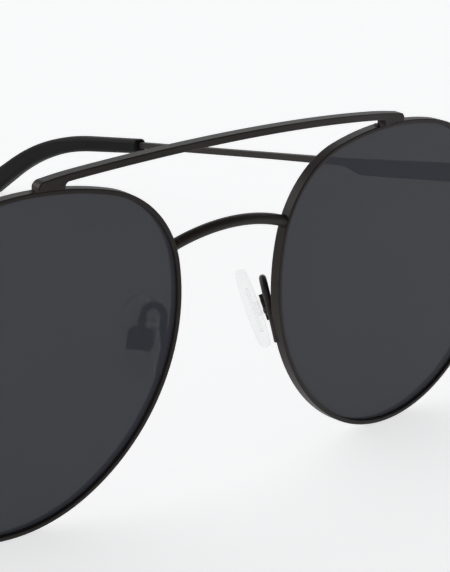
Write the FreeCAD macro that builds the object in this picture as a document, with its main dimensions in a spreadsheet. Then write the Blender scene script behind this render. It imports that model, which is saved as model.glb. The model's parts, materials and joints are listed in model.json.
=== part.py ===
import FreeCAD, Part
import math
import os
import Sketcher
from FreeCAD import Placement, Rotation, Vector

# Double-bridge aviator sunglasses in thin black metal, standing open on a flat surface.
# Millimetres. The pieces are drawn in the front's own frame: X to the wearer's left, Y back
# along the temples, Z up in the plane of the front, with X = 0 at the middle of the bridge.
# At the end everything is seated: tipped a little about X so that the rims and the temple
# tips touch the floor together, with the origin at the middle of the footprint.
# Left and right are the wearer's. The left pieces are drawn and the right ones mirrored.

doc = FreeCAD.newDocument("aviator_sunglasses")
sheet = doc.addObject("Spreadsheet::Sheet", "Sizes")

SIZES = [
    ("LENS OUTLINE: five tangent arcs about the lens's boxing centre", None),
    ("top_radius", 50.61), ("corner_radius", 15.16), ("nasal_radius", 30.42),
    ("bottom_radius", 25.33), ("temporal_radius", 23.73),
    ("top_centre_x", -2.54), ("top_centre_z", -26.16),
    ("bottom_centre_x", 1.35), ("bottom_centre_z", 0.86), ("nasal_centre_x", 3.91),
    ("EYE: boxing centre of the lens in the front's frame, and how far the front wraps", None),
    ("eye_x", 36.79), ("eye_y", 0.69), ("eye_z", -3.13), ("wrap_angle", 4.5),
    ("RIM AND LENS", None),
    ("rim_wall", 0.73), ("rim_depth", 1.79), ("rim_rounding", 0.18), ("rim_gap", 0.30),
    ("lip_depth", 0.45), ("groove_width", 0.80), ("groove_depth", 0.28),
    ("lens_front", 0.50), ("lens_thickness", 1.05), ("lens_gap", 0.12), ("bevel_gap", 0.06),
    ("bevel_width", 0.66),
    ("BROW BAR: a flat strip bowed up and forward, its ends flattening out onto the rims", None),
    ("bar_half_length", 35.33), ("bar_top", 26.64), ("bar_top_radius", 207.0),
    ("bar_front", -3.87), ("bar_front_radius", 158.5), ("bar_height", 1.11), ("bar_depth", 1.80),
    ("bar_bow_end_x", 29.0), ("bar_end_radius", 40.0),
    ("bar_left_skew", 0.40), ("bar_right_skew", 0.20),
    ("bar_left_rounding", 0.60), ("bar_right_rounding", 1.30),
    ("bar_foot_inner_x", 30.9), ("bar_foot_z", 21.50),
    ("bar_foot_notch", 0.70), ("bar_foot_lift", 0.40), ("bar_rounding", 0.16),
    ("NOSE BRIDGE: a round wire bent to one arc", None),
    ("bridge_wire", 1.74), ("bridge_radius", 32.1), ("bridge_half_angle", 21.6),
    ("bridge_y", -0.65), ("bridge_z", 12.32), ("bridge_lean", 12.5),
    ("SHARED: overlap of soldered joints, sliding and tight fits, depth of a cutting profile", None),
    ("solder_overlap", 0.04), ("tight_gap", 0.02), ("cut_reach", 20.0),
    ("slot_width", 0.22), ("slot_share", 0.45), ("head_rounding_share", 0.4),
    ("END PIECE AND HINGE", None), ("root_x", 64.12), ("root_y", 3.02),
    ("end_outer_rounding", 2.0), ("end_inner_rounding", 0.9), ("hinge_inset", 0.10),
    ("hinge_x", 65.0), ("hinge_y", 8.0), ("hinge_low", 5.10), ("hinge_high", 8.37),
    ("knuckle_radius", 1.10), ("knuckle_height", 1.10), ("knuckle_gap", 0.06),
    ("screw_radius", 0.55), ("running_gap", 0.05), ("screw_head_radius", 0.90),
    ("screw_head_height", 0.35), ("leaf_thickness", 0.50), ("butt_gap", 0.06),
    ("strip_thickness", 1.10), ("strip_inner_x", 66.30), ("front_leaf_y", 4.90),
    ("front_leaf_web", 0.90), ("front_leaf_root", 1.40), ("knuckle_room", 1.25),
    ("temple_leaf_start", 9.05), ("temple_leaf_end", 16.0),
    ("RIM LOCK: the split block and screw that close the rim on the lens", None),
    ("lock_z", 10.10), ("lock_half_height", 1.70), ("lock_split", 0.20),
    ("lock_outer_x", 27.50), ("lock_width", 5.0), ("lock_front", 0.10), ("lock_depth", 2.20),
    ("lock_screw_x", 26.45), ("lock_step", 0.20), ("lock_head_height", 0.35),
    ("lock_screw_radius", 0.50), ("lock_head_radius", 0.80),
    ("TEMPLE: a deep blade that steps down to a narrow strip", None),
    ("blade_top_slope", 0.2047), ("blade_low_slope", 0.1918), ("blade_length", 29.2),
    ("step_y", 41.8), ("step_z", 0.16), ("step_rounding", 2.5), ("strip_top_slope", 0.185),
    ("strip_start_y", 60.0), ("strip_start_z", -3.00), ("strip_height", 1.20),
    ("TEMPLE TIP: a bent plastic sleeve on the tail of the temple", None),
    ("tip_start_y", 97.9), ("tip_start_z", -9.50), ("tip_bend_y", 127.5), ("tip_bend_z", -15.50),
    ("tip_end_y", 147.4), ("tip_end_z", -30.18), ("tip_bend_radius", 63.0),
    ("tip_half_start", 1.38), ("tip_half_bend", 1.60), ("tip_half_end", 2.22),
    ("tip_thickness", 2.80), ("tip_rounding", 0.9), ("tail_half", 0.58), ("tail_length", 0.66),
    ("tail_thickness", 1.00), ("tail_gap", 0.05), ("tip_start_rounding", 0.70),
    ("tip_end_rounding", 2.00), ("mouth_depth", 1.30), ("mouth_gap", 0.12),
    ("NOSE PAD: its own frame has X away from the nose, Z up the pad", None),
    ("pad_x", 11.63), ("pad_y", 5.82), ("pad_z", -5.22), ("pad_splay", 36.8), ("pad_flare", 21.7),
    ("pad_low", -6.2), ("pad_high", 6.45), ("pad_front_edge", -3.85), ("pad_back_low", 3.35),
    ("pad_back_high", 2.25), ("pad_face", -1.35), ("pad_back", 1.05),
    ("pad_end_face", -0.90), ("pad_end_back", 0.75), ("pad_low_corner", 2.5),
    ("pad_high_corner", 1.8), ("pad_rounding", 0.6),
    ("core_thickness", 0.6), ("core_height", 7.0), ("core_width", 3.6), ("tab_y", -0.90), ("tab_end", 2.45),
    ("tab_half_width", 1.05), ("tab_half_height", 0.90),
    ("PAD BOX AND ARM", None),
    ("box_front", 1.35), ("box_back", 3.10), ("box_floor", 0.50), ("box_half_width", 1.75),
    ("box_half_height", 1.75), ("box_corner", 0.75), ("box_channel_half", 1.10),
    ("pad_screw_x", 2.05), ("pad_screw_radius", 0.45), ("pad_screw_head_radius", 0.80),
    ("pad_screw_head_height", 0.40), ("arm_wire", 1.10), ("arm_plane_x", 2.30),
    ("arm_plane_lean", 6.3), ("arm_loop_radius", 1.56), ("arm_loop_y", -2.61),
    ("arm_loop_z", 3.42), ("arm_bend_radius", 2.6),
    ("arm_root_y", -4.20), ("arm_root_z", -4.75), ("arm_knee_y", -4.75), ("arm_knee_z", -1.00),
    ("arm_shin_z", 1.60), ("arm_neck_z", 2.60), ("arm_end_y", -0.85), ("arm_end_z", 1.20),
]
for row, (name, number) in enumerate(SIZES, start=1):
    sheet.set(f"A{row}", name)
    if number is not None:
        sheet.set(f"B{row}", str(number))
        sheet.setAlias(f"B{row}", name)
doc.recompute()


def size(name):
    """The number in the sheet's cell of that name."""
    return float(sheet.get(name))


# ---------------------------------------------------------------- building helpers

def new_body(label, place=None):
    """An empty body, drawn in a frame of the front."""
    body = doc.addObject("PartDesign::Body", label)
    body.Label = label
    if place is not None:
        body.Placement = place
    return body


def origin_plane(body, plane):
    """One of the body's own planes: "XY", "XZ" or "YZ"."""
    role = plane + "_Plane"
    return [feature for feature in body.Origin.OriginFeatures if feature.Role == role][0]


def new_sketch(body, plane, raised=0.0, lean=0.0):
    """A sketch on one of the body's planes, raised along its normal and leaned about X."""
    sketch = body.newObject("Sketcher::SketchObject", body.Label + "_sketch")
    sketch.AttachmentSupport = [(origin_plane(body, plane), "")]
    sketch.MapMode = "FlatFace"
    sketch.AttachmentOffset = Placement(Vector(0, 0, raised), Rotation(Vector(1, 0, 0), lean))
    return sketch


def solid_feature(body, kind, sketch, length, reverse=False, both_ways=False):
    """A Pad or a Pocket whose length is an expression on the sheet, or everything."""
    feature = body.newObject("PartDesign::" + kind, body.Label + "_" + kind.lower())
    feature.Profile = sketch
    if length == "all":
        feature.Type = "ThroughAll"
    else:
        feature.setExpression("Length", length)
    feature.Midplane = both_ways
    feature.Reversed = reverse
    sketch.Visibility = False
    return feature


def pad(body, sketch, length, reverse=False, both_ways=False):
    return solid_feature(body, "Pad", sketch, length, reverse, both_ways)


def pocket(body, sketch, length, reverse=False, both_ways=False):
    """A Pocket that is checked to have taken something away."""
    doc.recompute()
    before = body.Shape.Volume
    feature = solid_feature(body, "Pocket", sketch, length, reverse, both_ways)
    doc.recompute()
    if body.Shape.Volume > before - 1e-4:
        raise ValueError(body.Label + ": a pocket cut nothing")
    return feature


def round_edges(body, radius, wanted):
    """Fillet the edges of the body for which wanted(edge) holds."""
    doc.recompute()
    base = body.Tip
    names = [f"Edge{i}" for i, edge in enumerate(base.Shape.Edges, start=1) if wanted(edge)]
    fillet = body.newObject("PartDesign::Fillet", body.Label + "_fillet")
    fillet.Base = (base, names)
    fillet.setExpression("Radius", radius)
    return fillet


def join_loop(sketch, edges, smooth):
    """Add edges end to end as a closed loop; smooth[i] makes the end of edge i tangent."""
    first = sketch.GeometryCount
    sketch.addGeometry(edges, False)
    for i in range(len(edges)):
        after = (i + 1) % len(edges)
        kind = "Tangent" if smooth[i] else "Coincident"
        sketch.addConstraint(Sketcher.Constraint(kind, first + i, 2, first + after, 1))
    return first


def rounded_loop(sketch, corners):
    """A closed outline of straight runs; each corner is (x, y) or (x, y, rounding)."""
    points = [Vector(c[0], c[1], 0) for c in corners]
    radii = [c[2] if len(c) > 2 else 0.0 for c in corners]
    arrive, leave, arcs = [], [], []
    for i, point in enumerate(points):
        back = (points[i - 1] - point).normalize()
        ahead = (points[(i + 1) % len(points)] - point).normalize()
        half = back.getAngle(ahead) / 2
        setback = radii[i] / math.tan(half)
        arrive.append(point + back * setback)
        leave.append(point + ahead * setback)
        bisector = (back + ahead).normalize()
        middle = point + bisector * (radii[i] / math.sin(half) - radii[i])
        arcs.append(flat_arc(arrive[i], middle, leave[i]) if radii[i] else None)
    edges = []
    for i in range(len(points)):
        after = (i + 1) % len(points)
        if arcs[i]:
            edges.append(arcs[i])
        if (arrive[after] - leave[i]).Length > 1e-6:
            edges.append(Part.LineSegment(leave[i], arrive[after]))
    return join_chain(sketch, edges)


def join_chain(sketch, edges, closed=True):
    """Edges that already meet, in order, held together end to end whichever way they run."""
    first = sketch.GeometryCount
    sketch.addGeometry(edges, False)
    stored = sketch.Geometry[first:]
    for i, edge in enumerate(stored if closed else stored[:-1]):
        after = (i + 1) % len(stored)
        pairs = [(a, b) for a in (1, 2) for b in (1, 2)
                 if end_point(edge, a).isEqual(end_point(stored[after], b), 1e-5)]
        near, far = pairs[0]
        sketch.addConstraint(Sketcher.Constraint("Coincident", first + i, near, first + after, far))
    return first


def end_point(edge, which):
    return edge.StartPoint if which == 1 else edge.EndPoint


def flat_arc(start, middle, end):
    """The arc through three points of a sketch, stored anticlockwise."""
    if (middle - start).cross(end - middle).z < 0:
        start, end = end, start
    ring = Part.Circle(start, middle, end)
    angles = [math.atan2(point.y - ring.Center.y, point.x - ring.Center.x)
              for point in (start, end)]
    return Part.ArcOfCircle(Part.Circle(ring.Center, Vector(0, 0, 1), ring.Radius), *angles)


def circle(sketch, x, y, radius):
    """A circle whose radius is an expression on the sheet."""
    index = sketch.addGeometry(Part.Circle(Vector(x, y, 0), Vector(0, 0, 1), 1.0), False)
    constraint = sketch.addConstraint(Sketcher.Constraint("Radius", index, 1.0))
    sketch.setExpression(f"Constraints[{constraint}]", radius)
    return index


def rectangle(half_width, half_height, corner, middle=0.0):
    """Corners of a rectangle, set off sideways to its middle."""
    left, right = middle - half_width, middle + half_width
    return [(left, -half_height, corner), (right, -half_height, corner),
            (right, half_height, corner), (left, half_height, corner)]


def turned_pin(label, place, radius, low, high, head_radius, head_height):
    """A plain screw: a shank along Z with a round head on top, turned in one piece."""
    body = new_body(label, place)
    sketch = new_sketch(body, "XZ")
    rounding = head_height * size("head_rounding_share")
    rounded_loop(sketch, [(0, low), (radius, low, radius * 0.3), (radius, high),
                          (head_radius, high), (head_radius, high + head_height, rounding),
                          (0, high + head_height)])
    turn = body.newObject("PartDesign::Revolution", label + "_turn")
    turn.Profile = sketch
    turn.ReferenceAxis = (sketch, ["V_Axis"])
    turn.Angle = 360
    slot = new_sketch(body, "XY", high + head_height)
    rounded_loop(slot, rectangle(2 * head_radius, size("slot_width") / 2, 0))
    pocket(body, slot, str(head_height * size("slot_share")))
    return body


# ---------------------------------------------------------------- the lens outline

def tangent_centre(first, first_reach, second, second_reach, side):
    """The point at given distances from two points, on the chosen side of their line."""
    across = second - first
    along = (first_reach**2 - second_reach**2 + across.Length**2) / (2 * across.Length)
    off = math.sqrt(first_reach**2 - along**2)
    unit = Vector(across).normalize()
    return first + unit * along + Vector(-unit.y, unit.x, 0) * (off * side)


def outline_arcs():
    """Name, centre, radius, start angle and end angle of the five arcs, anticlockwise."""
    reach = {name: size(name + "_radius") for name in ARC_ORDER}
    top = Vector(size("top_centre_x"), size("top_centre_z"), 0)
    bottom = Vector(size("bottom_centre_x"), size("bottom_centre_z"), 0)
    nasal_x = size("nasal_centre_x")
    rise = math.sqrt((reach["nasal"] - reach["bottom"])**2 - (nasal_x - bottom.x)**2)
    nasal = Vector(nasal_x, bottom.y + rise, 0)
    corner = tangent_centre(top, reach["top"] - reach["corner"],
                            nasal, reach["nasal"] - reach["corner"], 1)
    temporal = tangent_centre(top, reach["top"] - reach["temporal"],
                              bottom, reach["bottom"] - reach["temporal"], -1)
    centres = {"top": top, "corner": corner, "nasal": nasal, "bottom": bottom,
               "temporal": temporal}
    starts = []
    for i, name in enumerate(ARC_ORDER):
        before = ARC_ORDER[i - 1]
        large, small = (name, before) if reach[name] > reach[before] else (before, name)
        across = centres[small] - centres[large]
        starts.append(math.atan2(across.y, across.x))
    return [(name, centres[name], reach[name], starts[i], starts[(i + 1) % len(ARC_ORDER)])
            for i, name in enumerate(ARC_ORDER)]


ARC_ORDER = ["top", "corner", "nasal", "bottom", "temporal"]


def eye_outline(sketch, grow, grow_expression):
    """The lens outline, grown outward, as five tangent arcs held by the sheet's radii."""
    arcs = outline_arcs()
    edges = []
    for name, centre, radius, start, end in arcs:
        edges.append(Part.ArcOfCircle(Part.Circle(centre, Vector(0, 0, 1), radius + grow), start, end))
    first = join_loop(sketch, edges, [True] * len(edges))
    for i, (name, centre, radius, start, end) in enumerate(arcs):
        number = sketch.addConstraint(Sketcher.Constraint("Radius", first + i, radius + grow))
        sketch.setExpression(f"Constraints[{number}]", f"Sizes.{name}_radius + {grow_expression}")
    for name, axis, alias in (("top", "X", "top_centre_x"), ("top", "Y", "top_centre_z"),
                              ("bottom", "X", "bottom_centre_x"),
                              ("bottom", "Y", "bottom_centre_z"),
                              ("nasal", "X", "nasal_centre_x")):
        index = first + ARC_ORDER.index(name)
        number = sketch.addConstraint(
            Sketcher.Constraint("Distance" + axis, -1, 1, index, 3, size(alias)))
        sketch.setExpression(f"Constraints[{number}]", "Sizes." + alias)


# ---------------------------------------------------------------- frames of the front

def eye_frame():
    """At the left lens's boxing centre on the rim's front face, turned by the wrap."""
    return Placement(Vector(size("eye_x"), size("eye_y"), size("eye_z")),
                     Rotation(Vector(0, 0, 1), size("wrap_angle")))


def pad_frame():
    """At the middle of the left nose pad: X away from the nose, Z up the pad."""
    return Placement(Vector(size("pad_x"), size("pad_y"), size("pad_z")),
                     Rotation(-size("pad_splay"), -size("pad_flare"), 0))


def is_at(edge, axis, value, tolerance=1e-3):
    """True where the whole edge lies at one value along an axis."""
    low, high = (getattr(edge.BoundBox, axis + end) for end in ("Min", "Max"))
    return abs(low - value) < tolerance and abs(high - value) < tolerance


# ---------------------------------------------------------------- rims and lenses

def rim_section(body, name, centre, radius, angle):
    """The rim wire's section at an angle of one arc: X outward from the arc's centre, Y back."""
    sketch = body.newObject("Sketcher::SketchObject", f"{body.Label}_{name}_section")
    outward = Vector(math.cos(angle), 0, math.sin(angle))
    onward = Vector(-math.sin(angle), 0, math.cos(angle))
    sketch.Placement = Placement(Vector(centre.x, 0, centre.y),
                                 Rotation(outward, Vector(0, 1, 0), onward, "XYZ"))
    depth, rounding = size("rim_depth"), size("rim_rounding")
    outer, groove = radius + size("rim_wall"), radius + size("groove_depth")
    groove_front = size("lip_depth")
    groove_back = groove_front + size("groove_width")
    lines = rounded_loop(sketch, [
        (radius, groove_front), (groove, groove_front), (groove, groove_back),
        (radius, groove_back), (radius, depth, rounding), (outer, depth, rounding),
        (outer, 0, rounding), (radius, 0, rounding)])
    number = sketch.addConstraint(Sketcher.Constraint("DistanceX", -1, 1, lines, 1, radius))
    sketch.setExpression(f"Constraints[{number}]", f"Sizes.{name}_radius")
    number = sketch.addConstraint(Sketcher.Constraint("DistanceY", -1, 1, lines, 1, groove_front))
    sketch.setExpression(f"Constraints[{number}]", "Sizes.lip_depth")
    return sketch


def rim_stretches():
    """The five arcs, with the temporal one parted where the rim lock closes the rim."""
    stretches = outline_arcs()[:-1]
    name, centre, radius, start, end = outline_arcs()[-1]
    parting = math.asin((size("lock_z") - centre.y) / (radius + size("rim_wall") / 2))
    half_gap = size("rim_gap") / 2 / radius
    return stretches + [(name, centre, radius, start, parting - half_gap),
                        (name, centre, radius, parting + half_gap, end)]


def make_rim():
    """A ring of grooved rim wire, turned arc by arc, open by a hair at the rim lock."""
    body = new_body("left_rim", eye_frame())
    for name, centre, radius, start, end in rim_stretches():
        stretch = body.newObject("PartDesign::Revolution", f"left_rim_{name}")
        section = rim_section(body, name, centre, radius, start)
        stretch.Profile = section
        stretch.ReferenceAxis = (section, ["V_Axis"])
        stretch.Angle = math.degrees((end - start) % (2 * math.pi))
        stretch.Reversed = True
    return body


def make_lens():
    """A flat tinted lens: the plate fills the rim's opening and a bevel sits in its groove."""
    body = new_body("left_lens", eye_frame())
    plate = new_sketch(body, "XZ", -size("lens_front"))
    eye_outline(plate, -size("lens_gap"), "-Sizes.lens_gap")
    pad(body, plate, "Sizes.lens_thickness", reverse=True)
    bevel_start = size("lip_depth") + (size("groove_width") - size("bevel_width")) / 2
    bevel = new_sketch(body, "XZ", -bevel_start)
    eye_outline(bevel, size("groove_depth") - size("bevel_gap"),
                "Sizes.groove_depth - Sizes.bevel_gap")
    pad(body, bevel, "Sizes.bevel_width", reverse=True)
    return body


# ---------------------------------------------------------------- brow bar and bridge

def arc_through(first, middle, last):
    return flat_arc(Vector(*first, 0), Vector(*middle, 0), Vector(*last, 0))


def line(first, last):
    return Part.LineSegment(Vector(*first, 0), Vector(*last, 0))


def sag(x, radius):
    """How far an arc of that radius falls away, x from its crown."""
    return radius - math.sqrt(radius**2 - x**2)


def cut_both_eyes(body, grow, grow_expression, length):
    """Cut the grown lens outline out of both ends of a bridge, from the front backwards."""
    outline = body.newObject("Sketcher::SketchObject", body.Label + "_seat_sketch")
    facing = Placement(Vector(0, -size("cut_reach"), 0), Rotation(Vector(1, 0, 0), 90))
    outline.Placement = body.Placement.inverse().multiply(eye_frame()).multiply(facing)
    eye_outline(outline, grow, grow_expression)
    cut = pocket(body, outline, length)
    other = body.newObject("PartDesign::Mirrored", body.Label + "_other_seat")
    other.Originals = [cut]
    other.MirrorPlane = (origin_plane(body, "YZ"), [""])
    body.Tip = other
    doc.recompute()


def seat_on_rims(body):
    """Let both ends of a bridge sit on the outsides of the two rims."""
    cut_both_eyes(body, size("rim_wall") - size("solder_overlap"),
                  "Sizes.rim_wall - Sizes.solder_overlap", "2 * Sizes.cut_reach")


def bar_elevation():
    """The brow bar seen from the front: bowed strip, rounded ends, a foot under each end."""
    half, foot_x, foot_z = (size("bar_" + name) for name in
                            ("half_length", "foot_inner_x", "foot_z"))
    top, radius, height = size("bar_top"), size("bar_top_radius"), size("bar_height")
    notch = size("bar_foot_notch")
    notch_cut = notch * (1 - math.sqrt(0.5))
    inner = foot_x - notch
    inner_z = top - height - sag(inner, radius - height)

    def shoulder(side, corner):
        """Where the rounding of an end begins on the top edge."""
        x = half - corner
        return side * x, top - sag(x, radius)

    def end(side, corner):
        cut_back = corner * (1 - math.sqrt(0.5))
        begin = shoulder(side, corner)
        return [
            arc_through(begin, (side * (half - cut_back), begin[1] - cut_back),
                        (side * half, begin[1] - corner)),
            line((side * half, begin[1] - corner), (side * half, foot_z)),
            line((side * half, foot_z), (side * foot_x, foot_z)),
            line((side * foot_x, foot_z), (side * foot_x, inner_z - notch)),
            arc_through((side * foot_x, inner_z - notch),
                        (side * (foot_x - notch_cut), inner_z - notch_cut),
                        (side * inner, inner_z)),
        ]

    left, right = size("bar_left_rounding"), size("bar_right_rounding")
    crown = arc_through(shoulder(-1, right), (0, top), shoulder(1, left))
    under = arc_through((inner, inner_z), (0, top - height), (-inner, inner_z))
    return [crown] + end(1, left) + [under] + end(-1, right)[::-1]


def bar_plan():
    """The brow bar seen from above: bowed forward, flattening out and cut off at the ends."""
    front, radius, depth = size("bar_front"), size("bar_front_radius"), size("bar_depth")
    half, bow_x, end_radius = (size("bar_" + name) for name in
                               ("half_length", "bow_end_x", "end_radius"))
    bow_centre = Vector(0, front + radius, 0)
    outward = (Vector(bow_x, front + sag(bow_x, radius), 0) - bow_centre).normalize()
    end_centre = bow_centre + outward * (radius + end_radius)

    def point(x, behind):
        """A point of the front face, or of a face that far behind it."""
        if x <= bow_x:
            return x, front + behind + sag(x, radius - behind)
        reach = end_radius + behind
        return x, end_centre.y + math.sqrt(reach**2 - (end_centre.x - x)**2)

    def join(behind):
        """Where the bow goes over into the flattened end."""
        place = bow_centre + outward * (radius - behind)
        return place.x, place.y

    def flipped(place, side):
        return side * place[0], place[1]

    def end(side, skew):
        middle_x = (bow_x + half) / 2
        last_front = point(half, 0)
        last_back = point(half - skew, depth)
        return [
            arc_through(*(flipped(place, side) for place in (join(0), point(middle_x, 0), last_front))),
            line(flipped(last_front, side), flipped(last_back, side)),
            arc_through(*(flipped(place, side)
                          for place in (last_back, point(middle_x, depth), join(depth)))),
        ]

    bow = arc_through(flipped(join(0), -1), (0, front), join(0))
    inside = arc_through(join(depth), (0, front + depth), flipped(join(depth), -1))
    return [bow] + end(1, size("bar_left_skew")) + [inside] + end(-1, size("bar_right_skew"))[::-1]


def make_brow_bar():
    """The flat upper bridge, sawn to its elevation and then to its plan."""
    body = new_body("brow_bar", Placement())
    elevation = new_sketch(body, "XZ")
    join_chain(elevation, bar_elevation())
    pad(body, elevation, "2 * Sizes.cut_reach", both_ways=True)
    plan = new_sketch(body, "XY")
    join_chain(plan, bar_plan())
    rounded_loop(plan, rectangle(size("bar_half_length") + size("cut_reach"), 2 * size("cut_reach"), 0))
    pocket(body, plan, "all", reverse=True)
    above_feet = size("bar_foot_z") + size("bar_foot_notch")
    round_edges(body, "Sizes.bar_rounding", lambda edge: edge.BoundBox.ZMin > above_feet)
    seat_on_rims(body)
    cut_both_eyes(body, size("rim_wall") + size("bar_foot_lift"),
                  "Sizes.rim_wall + Sizes.bar_foot_lift", "Sizes.cut_reach")
    return body


def make_nose_bridge():
    """The lower bridge: one arc of round wire between the two rims."""
    lean = Rotation(Vector(1, 0, 0), size("bridge_lean"))
    radius = size("bridge_radius")
    centre = Vector(0, size("bridge_y"), size("bridge_z")) - lean.multVec(Vector(0, 0, radius))
    body = new_body("nose_bridge", Placement(centre, lean))
    section = new_sketch(body, "YZ")
    circle(section, 0, radius, "Sizes.bridge_wire / 2")
    number = section.addConstraint(Sketcher.Constraint("DistanceY", -1, 1, 0, 3, radius))
    section.setExpression(f"Constraints[{number}]", "Sizes.bridge_radius")
    bend = body.newObject("PartDesign::Revolution", "nose_bridge_bend")
    bend.Profile = section
    bend.ReferenceAxis = (section, ["H_Axis"])
    bend.setExpression("Angle", "Sizes.bridge_half_angle * 2")
    bend.Midplane = True
    seat_on_rims(body)
    return body


# ---------------------------------------------------------------- rim lock, end piece, hinge

def make_rim_lock(label, low, high, outer_x, hole_radius):
    """Half of the split block on the rim's ends, cut to sit on the rim's outside."""
    body = new_body(label, eye_frame())
    block = new_sketch(body, "XZ", -size("lock_front"))
    inner_x = outer_x - size("lock_width")
    rounded_loop(block, [(inner_x, low), (outer_x, low), (outer_x, high), (inner_x, high)])
    pad(body, block, "Sizes.lock_depth", reverse=True)
    inside = new_sketch(body, "XZ", size("cut_reach"))
    eye_outline(inside, size("rim_wall") - size("solder_overlap"),
                "Sizes.rim_wall - Sizes.solder_overlap")
    pocket(body, inside, "2 * Sizes.cut_reach")
    hole = new_sketch(body, "XY", -size("cut_reach"))
    middle = size("lock_front") + size("lock_depth") / 2
    circle(hole, size("lock_screw_x"), middle, hole_radius)
    pocket(body, hole, "all", reverse=True)
    return body


def make_rim_locks():
    centre, half = size("lock_z"), size("lock_half_height")
    gap = size("lock_split") / 2
    outer, step = size("lock_outer_x"), size("lock_step")
    upper = make_rim_lock("left_rim_lock_upper", centre + gap, centre + half, outer,
                          "Sizes.lock_screw_radius + Sizes.running_gap")
    lower = make_rim_lock("left_rim_lock_lower", centre - half, centre - gap, outer - step,
                          "Sizes.lock_screw_radius + Sizes.tight_gap")
    middle = size("lock_front") + size("lock_depth") / 2
    place = eye_frame().multiply(Placement(Vector(size("lock_screw_x"), middle, 0), Rotation()))
    screw = turned_pin("left_rim_lock_screw", place, size("lock_screw_radius"),
                       centre - half + step, centre + half, size("lock_head_radius"),
                       size("lock_head_height"))
    return [upper, lower, screw]


def make_end_piece():
    """The flat lug that carries the front round the corner to the hinge."""
    body = new_body("left_end_piece", Placement(Vector(0, 0, size("hinge_low")), Rotation()))
    inner, thick = size("strip_inner_x"), size("strip_thickness")
    back = size("hinge_y")
    root_x, front_y = size("root_x"), size("root_y")
    rise = math.tan(math.radians(size("wrap_angle")))
    corner_front = front_y + (inner + thick - root_x) * rise
    corner_back = front_y + thick + (inner - root_x) * rise
    plan = new_sketch(body, "XY")
    rounded_loop(plan, [(root_x, front_y), (inner + thick, corner_front, size("end_outer_rounding")),
                        (inner + thick, back), (inner, back),
                        (inner, corner_back, size("end_inner_rounding")),
                        (root_x, front_y + thick)])
    pad(body, plan, "Sizes.hinge_high - Sizes.hinge_low")
    return body


def knuckle_levels():
    """Low and high of the temple's middle knuckle."""
    middle = (size("hinge_low") + size("hinge_high")) / 2
    half = size("knuckle_height") / 2
    return middle - half, middle + half


def make_front_hinge():
    """The end piece's hinge leaf with an upper and a lower knuckle."""
    low = size("hinge_low") + size("hinge_inset")
    body = new_body("left_front_hinge", Placement(Vector(0, 0, low), Rotation()))
    x, y, inner = size("hinge_x"), size("hinge_y"), size("strip_inner_x")
    leaf_x = inner - size("leaf_thickness")
    front_leaf_web, front_leaf_root = size("front_leaf_web"), size("front_leaf_root")
    height = "Sizes.hinge_high - Sizes.hinge_low - 2 * Sizes.hinge_inset"
    leaf = new_sketch(body, "XY")
    rounded_loop(leaf, [(leaf_x, size("front_leaf_y")), (inner, size("front_leaf_y")),
                        (inner, y), (x, y), (x, y - front_leaf_web), (leaf_x, y - front_leaf_root)])
    pad(body, leaf, height)
    barrel = new_sketch(body, "XY")
    circle(barrel, x, y, "Sizes.knuckle_radius")
    pad(body, barrel, height)
    gap_low, gap_high = knuckle_levels()
    slot = new_sketch(body, "XY", gap_low - size("knuckle_gap") - low)
    room, far = size("knuckle_room"), 3 * size("knuckle_radius")
    rounded_loop(slot, [(x - far, y - room), (x + far, y - room), (x + far, y + far), (x - far, y + far)])
    pocket(body, slot, "Sizes.knuckle_height + 2 * Sizes.knuckle_gap", reverse=True)
    bore = new_sketch(body, "XY", -size("cut_reach"))
    circle(bore, x, y, "Sizes.screw_radius + Sizes.tight_gap")
    pocket(body, bore, "all", reverse=True)
    return body


def make_hinge_screw():
    place = Placement(Vector(size("hinge_x"), size("hinge_y"), 0), Rotation())
    inset = size("hinge_inset")
    return turned_pin("left_hinge_screw", place, size("screw_radius"),
                      size("hinge_low") + inset, size("hinge_high") - inset,
                      size("screw_head_radius"), size("screw_head_height"))


def make_temple_hinge():
    """The temple's hinge leaf with the middle knuckle."""
    gap_low, gap_high = knuckle_levels()
    body = new_body("left_temple_hinge", Placement())
    x, y, inner = size("hinge_x"), size("hinge_y"), size("strip_inner_x")
    start, end = size("temple_leaf_start"), size("temple_leaf_end")
    slope = size("blade_top_slope")
    high, low = size("hinge_high") - 0.3, size("hinge_low") + 0.25
    leaf = new_sketch(body, "YZ", inner - size("leaf_thickness"))
    rounded_loop(leaf, [(start, low - (start - y) * slope, 0.2),
                        (end, low - (end - y) * slope, 0.8),
                        (end, high - (end - y) * slope, 0.8),
                        (start, high - (start - y) * slope, 0.2)])
    pad(body, leaf, "Sizes.leaf_thickness")
    web = new_sketch(body, "XY", gap_low)
    rounded_loop(web, [(x, y + 0.3), (inner, y + 0.3), (inner, y + 1.8), (x + 0.6, y + 1.8)])
    pad(body, web, "Sizes.knuckle_height")
    barrel = new_sketch(body, "XY", gap_low)
    circle(barrel, x, y, "Sizes.knuckle_radius")
    pad(body, barrel, "Sizes.knuckle_height")
    bore = new_sketch(body, "XY", -size("cut_reach"))
    circle(bore, x, y, "Sizes.screw_radius + Sizes.running_gap")
    pocket(body, bore, "all", reverse=True)
    return body


# ---------------------------------------------------------------- temples

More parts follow.
